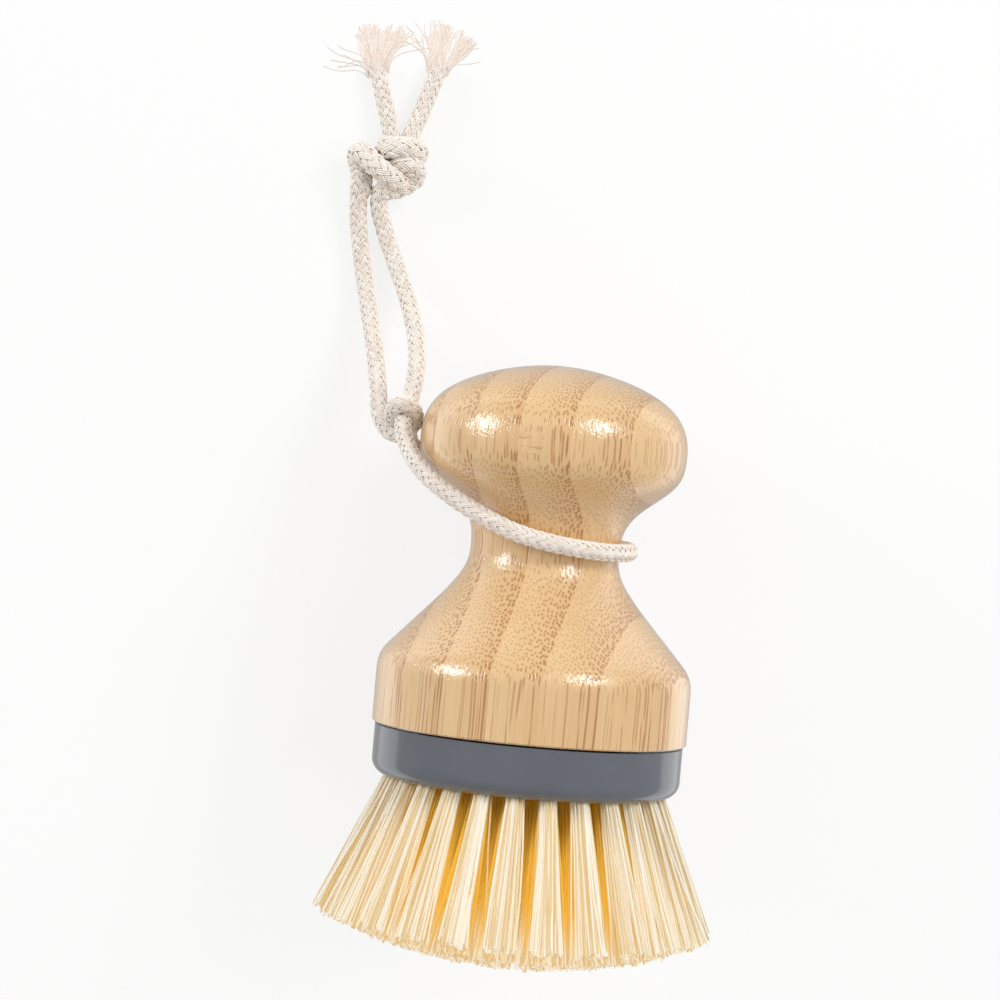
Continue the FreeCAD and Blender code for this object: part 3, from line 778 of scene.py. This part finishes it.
@dataclass
class CottonCord:
    """One braided cord: sixteen carriers of three threads, two over and two under, frayed at its ends.

    Args:
        diameter: Across the braid, mm.
        lead: Length in which a carrier goes once round, mm.
        carriers: Carriers that go round each way.
        plies: Threads side by side in one carrier.
        ply_radius: Radius of a thread, mm.
        ply_pitch: Distance between threads of one carrier, in radii.
        weave: How far a carrier rises and sinks as it crosses others, mm.
        core_radius: Radius of the yarn inside the braid, mm.
        knot_start: Where the end knot begins along the table, mm.
        knot_end: Where it ends, mm.
        knot_swell: How much wider the cord is pressed in the end knot.
        knot_ease: Length in which the cord widens to that, mm.
        step: Distance between points along the cord, mm.
        run_on: How far the braid holds together past each end of its route, inside the fray, mm.
        resolution: Points of the route's curve between two of its own points.
    """

    diameter: float = 3.6
    lead: float = 15.0
    carriers: int = 8
    plies: int = 3
    ply_radius: float = 0.168
    ply_pitch: float = 1.88
    weave: float = 0.26
    core_radius: float = 1.3
    knot_start: float = 82.5
    knot_end: float = 95.0
    knot_swell: float = 1.28
    knot_ease: float = 2.0
    step: float = 0.72
    run_on: float = 2.6
    resolution: int = 16

    def centreline(self) -> list[Vector]:
        """Reads the cord's own line from its spline, at even steps.

        Returns:
            The points, metres.
        """
        curve = bpy.data.curves.new("cord route", "CURVE")
        curve.dimensions = "3D"
        spline = curve.splines.new("NURBS")
        spline.points.add(len(CORD_ROUTE) - 1)
        for point, place in zip(spline.points, CORD_ROUTE):
            point.co = (*place, 1.0)
        spline.order_u = 3
        spline.use_endpoint_u = True
        spline.resolution_u = self.resolution
        holder = bpy.data.objects.new("cord route", curve)
        mesh = bpy.data.meshes.new_from_object(holder)
        dense = [v.co.copy() for v in mesh.vertices]
        bpy.data.objects.remove(holder)
        bpy.data.curves.remove(curve)
        bpy.data.meshes.remove(mesh)
        first = dense[0] + (dense[0] - dense[1]).normalized() * self.run_on * MM
        last = dense[-1] + (dense[-1] - dense[-2]).normalized() * self.run_on * MM
        dense = [first, *dense, last]
        points = [first]
        wanted = self.step * MM
        gone = 0.0
        for a, b in zip(dense, dense[1:]):
            run = (b - a).length
            while run > 0 and gone + run >= wanted * len(points):
                points.append(a.lerp(b, (wanted * len(points) - gone) / run))
            gone += run
        log.info("cord: %.1f mm along its spline", gone / MM)
        return points

    @staticmethod
    def frames(points: list[Vector]) -> list[tuple[Vector, Vector]]:
        """Carries a pair of cross directions along a line without twist.

        Args:
            points: The line.

        Returns:
            Two directions across the line at each point.
        """
        ends = points[1:] + points[-1:]
        starts = points[:1] + points[:-1]
        pairs = []
        across = Vector((0.0, 0.0, 1.0))
        for a, b in zip(starts, ends):
            ahead = (b - a).normalized()
            across = (across - ahead * across.dot(ahead)).normalized()
            pairs.append((across.copy(), ahead.cross(across)))
        return pairs

    def swell(self, point: Vector) -> float:
        """How much wider than the plain cord it is pressed at a place: more in the end knot.

        Args:
            point: A place on the cord's line.

        Returns:
            The share of the plain width.
        """
        place = point.y / MM
        rise = min(place - self.knot_start, self.knot_end - place) / self.knot_ease
        return 1.0 + (self.knot_swell - 1.0) * min(max(rise, 0.0), 1.0)

    def carrier(
        self, points: list[Vector], pairs: list[tuple[Vector, Vector]], number: int, way: int, ply: int
    ) -> list[Vector]:
        """Lays one thread of one carrier round the line.

        Args:
            points: The cord's line.
            pairs: The directions across it.
            number: Which carrier.
            way: 1 for clockwise, -1 for anticlockwise.
            ply: Which thread of the carrier.

        Returns:
            The thread's points, metres.
        """
        middle = self.diameter / 2 - self.weave - self.ply_radius
        lane = (ply - (self.plies - 1) / 2) * self.ply_radius * self.ply_pitch / middle
        run = []
        for index, (point, (up, across)) in enumerate(zip(points, pairs)):
            rounds = index * self.step / self.lead
            angle = 2 * math.pi * (way * rounds + number / self.carriers) + lane
            crossing = 2 * self.carriers * rounds
            lift = way * math.sin(math.pi / 2 * (2 * number + way * crossing) + math.pi / 4)
            radius = (middle + self.weave * lift) * self.swell(point) * MM
            run.append(point + (up * math.cos(angle) + across * math.sin(angle)) * radius)
        return run

    def build(self) -> tuple[bpy.types.Object, list[Vector]]:
        """Makes the braid.

        Returns:
            The piece and the line that it follows.
        """
        points = self.centreline()
        pairs = self.frames(points)
        runs = [
            self.carrier(points, pairs, number, way, ply)
            for way in (1, -1)
            for number in range(self.carriers)
            for ply in range(self.plies)
        ]
        core = self.core_radius / self.ply_radius
        swells = [self.swell(point) for point in points]
        radii = [swells for _ in runs] + [[core * swell for swell in swells]]
        piece = threads("cotton_cord", runs + [points], self.ply_radius * MM, 0, radii)
        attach(piece, Body.CORD.value)
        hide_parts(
            "cord_left_tail",
            "cord_end_knot",
            "cord_left_strand",
            "cord_half_knot",
            "cord_neck_loop",
            "cord_right_strand",
            "cord_right_tail",
        )
        return piece, points


@dataclass(frozen=True)
class ThreadHabit:
    """How one kind of loose thread lies.

    Args:
        length: The shortest and the longest, as shares of the fray's reach.
        back: How far before the cord's end it leaves the braid, least and most, mm.
        curl: How far it curls, radians.
    """

    length: tuple[float, float]
    back: tuple[float, float]
    curl: float


@dataclass
class Fray:
    """The loosened threads at one end of the cord, fanned out flat on the table.

    Args:
        name: The piece's name.
        node: The construction model's node that it stands for.
        clumps: Each clump's lean and half width, degrees, and the share across the end where it stops.
        count: Threads in the fray.
        strays: How many of them stick out to the side.
        reach: Length of a thread past the end, mm.
        clumped: How the threads in the clumps lie.
        straying: How the threads that stick out lie.
        stray_bend: How far those bend to the side, least and most, degrees.
        stray_place: Where those leave the end, as a share of its half width.
        stack: How high in the end a thread may start, as a share of the end's round.
        thickness: Radius of a thread, mm.
        bundle: Half the width of the end, mm.
        lowest: Height above the table that a thread's middle keeps, mm.
        steps: Stretches of a thread.
        bend_rate: How much sooner than its tip a thread has made its bend.
        ripple: Least and most that a thread ripples, radians.
        ripple_start: Turn up to which the ripple may start, radians.
        ripple_run: The ripple's turn from a thread's start to its tip, radians.
        sink: How far a thread sinks in one stretch, mm.
        sink_from: Share of a thread after which it sinks.
    """

    name: str
    node: str
    clumps: tuple[tuple[float, float, float], ...]
    count: int = 160
    strays: int = 14
    reach: float = 7.6
    clumped: ThreadHabit = ThreadHabit((0.8, 1.06), (0.3, 2.2), 0.18)
    straying: ThreadHabit = ThreadHabit((0.65, 1.1), (0.0, 2.5), 0.5)
    stray_bend: tuple[float, float] = (35.0, 85.0)
    stray_place: float = 0.95
    stack: float = 0.9
    thickness: float = 0.1
    bundle: float = 2.05
    lowest: float = 0.12
    steps: int = 6
    bend_rate: float = 1.8
    ripple: tuple[float, float] = (0.05, 0.3)
    ripple_start: float = 6.28
    ripple_run: float = 5.0
    sink: float = 0.45
    sink_from: float = 0.4

    def thread(self, end: Vector, ahead: Vector, stray: bool, chance: random.Random) -> list[Vector]:
        """Lays one loose thread.

        Args:
            end: The cord's end.
            ahead: The direction that it ends in.
            stray: Whether the thread sticks out to the side.
            chance: The fray's own seeded numbers.

        Returns:
            The thread's points, metres.
        """
        side = Vector((ahead.y, -ahead.x, 0.0))
        place = chance.uniform(-1, 1)
        height = math.sqrt(1 - place * place) * chance.uniform(-self.stack, self.stack)
        if stray:
            place = math.copysign(self.stray_place, place)
            bend = math.copysign(math.radians(chance.uniform(*self.stray_bend)), place)
        else:
            lean, half, _ = next(clump for clump in self.clumps if (place + 1) / 2 <= clump[2])
            bend = math.radians(lean + half * chance.uniform(-1, 1))
        habit = self.straying if stray else self.clumped
        length = self.reach * chance.uniform(*habit.length)
        back = chance.uniform(*habit.back)
        curl = chance.gauss(0, habit.curl)
        wave = chance.uniform(*self.ripple)
        phase = chance.uniform(0, self.ripple_start)
        start = end + (side * place * self.bundle + Vector((0, 0, height * self.bundle)) - ahead * back) * MM
        points = [start]
        here = start.copy()
        for number in range(1, self.steps + 1):
            part = number / self.steps
            angle = bend * min(1.0, part * self.bend_rate) + curl * part * part
            angle += wave * math.sin(phase + part * self.ripple_run)
            way = ahead * math.cos(angle) + side * math.sin(angle)
            here = here + way * (length + back) / self.steps * MM
            sink = self.sink if part > self.sink_from else 0.0
            here.z = max(here.z - sink * MM, self.lowest * MM)
            points.append(here.copy())
        return points

    def build(self, end: Vector, before: Vector, seed: int) -> bpy.types.Object:
        """Makes the fray as one piece.

        Args:
            end: The cord's end.
            before: A point of the cord just before it.
            seed: Start of the fray's own random numbers.

        Returns:
            The piece.
        """
        chance = random.Random(seed)
        ahead = end - before
        ahead.z = 0.0
        ahead.normalize()
        runs = [self.thread(end, ahead, number < self.strays, chance) for number in range(self.count)]
        piece = threads(self.name, runs, self.thickness * MM, 0)
        # The loose threads cast no shadow; their darker cotton is painted shade in its place.
        piece.visible_shadow = False
        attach(piece, Body.CORD.value)
        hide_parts(self.node)
        return piece


@dataclass
class DishBrush:
    """The whole object.

    Args:
        outer_count: Tufts in the outer row, each of them a node of its own.
        inner_filaments: Filaments in each tuft of the other rows.
        inner_tip: Radius of those tufts at their tips, mm.
        row_seed: Seed of the outer row; the other rows count on from it.
        fray_seeds: Seeds of the left and the right fray.
        left_clumps: The left fray's clumps.
        right_clumps: The right fray's clumps.
        end_points: Points of the cord that give the direction of its end.
    """

    outer_count: int = 26
    inner_filaments: int = 100
    inner_tip: float = 4.2
    row_seed: int = 11
    fray_seeds: tuple[int, int] = (31, 32)
    left_clumps: tuple[tuple[float, float, float], ...] = ((8.0, 10.0, 0.62), (44.0, 17.0, 1.0))
    right_clumps: tuple[tuple[float, float, float], ...] = ((-14.0, 15.0, 0.68), (18.0, 14.0, 1.0))
    end_points: int = 4

    def tufts(self) -> None:
        """Makes and dresses the four rows of tufts."""
        filament = NylonFilament().build()
        outer_nodes = tuple(f"outer_tuft_{n:02d}" for n in range(1, self.outer_count + 1))
        fuller = {"filaments": self.inner_filaments, "bundle_tip": self.inner_tip}
        rows = (
            TuftRow("outer_filaments", outer_nodes, count=self.outer_count, root_radius=25.1),
            TuftRow("second_row_filaments", ("second_row_tufts",), count=20, root_radius=19.2, **fuller),
            TuftRow("third_row_filaments", ("third_row_tufts",), count=14, root_radius=13.3, **fuller),
            TuftRow("inner_row_filaments", ("inner_row_tufts",), count=8, root_radius=7.4, **fuller),
        )
        for seed, row in enumerate(rows, self.row_seed):
            dress(row.build(seed), filament)

    def hard_pieces(self) -> None:
        """Dresses the pieces that stay as the construction model has them."""
        steel = PlatedSteel().build()
        finishes = {
            "handle": (LaminatedBamboo().build(), Slot.BAMBOO),
            "bristle_plate": (GreyPolypropylene().build(), Slot.PLATE),
            "fixing_screw": (steel, Slot.STEEL),
            "tuft_anchors": (steel, Slot.STEEL),
        }
        for name, (material, slot) in finishes.items():
            dress(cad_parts[name], material)

    def hanging_cord(self) -> None:
        """Makes and dresses the cord with its two frays."""
        cord = CottonCord()
        braid, line = cord.build()
        dress(braid, UndyedCotton().build())
        left_seed, right_seed = self.fray_seeds
        left_fray = Fray("left_fray", "cord_left_fray", self.left_clumps)
        right_fray = Fray("right_fray", "cord_right_fray", self.right_clumps)
        left = left_fray.build(line[0], line[self.end_points], left_seed)
        right = right_fray.build(line[-1], line[-1 - self.end_points], right_seed)
        # Painted shade: the frays' cotton is darker than the cord's, standing in for the shadows that their
        # threads don't cast.
        loose = UndyedCotton("loose cotton fibre", "#F9F3ED", "#E0D0C4").build()
        for fray in (left, right):
            dress(fray, loose)

    def build(self) -> None:
        """Makes and dresses every piece."""
        self.tufts()
        self.hard_pieces()
        self.hanging_cord()


@dataclass
class Studio:
    """White table, two soft boxes at the sides, a fill at the front and a camera above.

    Args:
        distance: From the camera to the brush's axis, m.
        focal: The lens, mm.
        sensor: Width of the camera's sensor, mm.
        clip: Nearest and farthest that the camera sees, m.
        side: How far the camera is moved about the brush's axis, degrees.
        roll: The lean of the brush in the picture, degrees.
        aim: The picture's middle, across and along the brush's axis, m.
        left_box: The left soft box, round the brush's axis and towards the knob's end, degrees.
        right_box: The right soft box, likewise.
        box_distance: From the lamps to the handle, m.
        box_size: Edge of a soft box, m.
        box_power: Power of a soft box, W.
        fill: The front fill, round the brush's axis and towards the knob's end, degrees.
        fill_power: Power of the fill, W.
        fill_size: Edge of the fill, m.
        lit_height: Place on the brush's axis that the lamps point at, m.
        sky: Strength of the even white light from all round.
        table_size: Edge of the table, m.
        table_white: The table's paper.
        table_glow: How much of the table's white is even in the picture, the rest keeping the shadow.
        glow_band_begins: From the middle to where the band that glows in reflections begins and is full, m.
        glow_band_ends: From the middle to where it fades and is gone, m.
        painted_reflection_glow: Painted reflection: how brightly the table glows for glossy rays beside the
            band and in it.
    """

    distance: float = 0.52
    focal: float = 98.53
    sensor: float = 36.0
    clip: tuple[float, float] = (0.01, 20.0)
    side: float = 2.7
    roll: float = 5.0
    aim: tuple[float, float] = (-0.00931, 0.05339)
    left_box: tuple[float, float] = (-66.0, 20.0)
    right_box: tuple[float, float] = (42.0, 32.0)
    box_distance: float = 0.9
    box_size: float = 0.3
    box_power: float = 3.0
    fill: tuple[float, float] = (42.0, 5.0)
    fill_power: float = 1.5
    fill_size: float = 0.35
    lit_height: float = 0.045
    sky: float = 0.52
    table_size: float = 4.0
    table_white: str = "#F7F7F7"
    table_glow: float = 0.8
    glow_band_begins: tuple[float, float] = (0.048, 0.06)
    glow_band_ends: tuple[float, float] = (0.125, 0.14)
    painted_reflection_glow: tuple[float, float] = (0.55, 1.25)

    def camera(self) -> None:
        """Sets the camera as in the photo."""
        side = math.radians(self.side)
        roll = math.radians(self.roll)
        ahead = Vector((math.sin(side), math.cos(side), 0.0))
        right = Vector((math.cos(side), -math.sin(side), 0.0))
        axis = Vector((0.0, 0.0, 1.0))
        middle = right * self.aim[0] + axis * self.aim[1]
        level = right * math.cos(roll) + axis * math.sin(roll)
        upward = axis * math.cos(roll) - right * math.sin(roll)
        columns = [BRUSH_PLACE.to_3x3() @ v for v in (level, upward, -ahead)]
        turn = Matrix(columns).transposed().to_4x4()
        data = bpy.data.cameras.new("camera")
        data.lens = self.focal
        data.sensor_width = self.sensor
        data.clip_start, data.clip_end = self.clip
        camera = bpy.data.objects.new("camera", data)
        camera.matrix_world = Matrix.Translation(BRUSH_PLACE @ (middle - ahead * self.distance)) @ turn
        bpy.context.collection.objects.link(camera)
        bpy.context.scene.camera = camera

    def soft_box(
        self, name: str, angle: float, rise: float, power: float, size: float, mirrored: bool = True
    ) -> None:
        """Hangs one square soft box that points at the handle.

        Args:
            name: The lamp's name.
            angle: Round the brush's axis from the camera's side, degrees.
            rise: Towards the knob's end, degrees.
            power: Watts.
            size: Edge, m.
            mirrored: Whether glossy pieces show the box itself.
        """
        about = math.radians(angle - self.side)
        up = math.radians(rise)
        way = Vector((math.sin(about) * math.cos(up), -math.cos(about) * math.cos(up), math.sin(up)))
        lit = Vector((0.0, 0.0, self.lit_height))
        target = BRUSH_PLACE @ lit
        place = BRUSH_PLACE @ (lit + way * self.box_distance)
        data = bpy.data.lights.new(name, "AREA")
        data.shape = "SQUARE"
        data.size = size
        data.energy = power
        lamp = bpy.data.objects.new(name, data)
        lamp.visible_glossy = mirrored
        turn = (place - target).to_track_quat("Z", "Y").to_matrix().to_4x4()
        lamp.matrix_world = Matrix.Translation(place) @ turn
        bpy.context.collection.objects.link(lamp)

    def table(self) -> None:
        """Lays the white table, bright in the picture with the shadow kept, with a painted reflection: a band
        in which it glows for glossy rays only.
        """
        bpy.ops.mesh.primitive_plane_add(size=self.table_size)
        floor = bpy.context.object
        floor.name = "table"
        material, tree = new_material("white paper sweep")
        ray = add_node(tree, "LightPath").outputs
        looks = {0: ray["Is Camera Ray"], 1: ray["Is Transmission Ray"]}
        seen = add_node(tree, "Math", looks, operation="ADD", use_clamp=True)
        part = add_node(tree, "Math", {0: seen, 1: self.table_glow}, operation="MULTIPLY")
        paper = add_node(tree, "BsdfDiffuse", {"Color": linear(self.table_white)})
        glow = add_node(tree, "Emission", {"Strength": 1.0})
        white = add_node(tree, "MixShader", {0: part, 1: paper, 2: glow})
        # Painted reflection: for glossy rays only, the table glows as a bright band on each side of the brush
        # and dimmer beyond it, and glossy pieces mirror that band.
        place = add_node(tree, "SeparateXYZ", {0: add_node(tree, "TexCoord").outputs["Object"]})
        away = add_node(tree, "Math", {0: place.outputs["X"]}, operation="ABSOLUTE")
        near = {"Value": away, "From Min": self.glow_band_begins[0], "From Max": self.glow_band_begins[1]}
        begins = add_node(tree, "MapRange", near, interpolation_type="SMOOTHSTEP")
        far = {"Value": away, "From Min": self.glow_band_ends[0], "From Max": self.glow_band_ends[1]}
        fading = far | {"To Min": 1.0, "To Max": 0.0}
        ends = add_node(tree, "MapRange", fading, interpolation_type="SMOOTHSTEP")
        glow_band = add_node(tree, "Math", {0: begins, 1: ends}, operation="MULTIPLY")
        dim, full = self.painted_reflection_glow
        bright = add_node(tree, "MapRange", {"Value": glow_band, "To Min": dim, "To Max": full})
        mirrored = add_node(tree, "Emission", {"Strength": bright})
        surface = add_node(tree, "MixShader", {0: ray["Is Glossy Ray"], 1: white, 2: mirrored})
        add_node(tree, "OutputMaterial", {"Surface": surface})
        floor.data.materials.append(material)

    def build(self) -> None:
        """Sets the table, the lights and the camera."""
        self.table()
        self.soft_box("left soft box", *self.left_box, self.box_power, self.box_size)
        self.soft_box("right soft box", *self.right_box, self.box_power, self.box_size)
        self.soft_box("front fill", *self.fill, self.fill_power, self.fill_size, False)
        world = bpy.data.worlds.new("studio")
        world.use_nodes = True
        world.node_tree.nodes.clear()
        sky = add_node(world.node_tree, "Background", {"Color": linear("#FFFFFF"), "Strength": self.sky})
        add_node(world.node_tree, "OutputWorld", {"Surface": sky})
        bpy.context.scene.world = world
        bpy.context.scene.view_settings.view_transform = "Standard"
        self.camera()


def main() -> None:
    """Builds the brush and its studio."""
    logging.basicConfig(level=logging.INFO, format="%(name)s %(message)s")
    DishBrush().build()
    Studio().build()


if __name__ == "__main__":
    main()
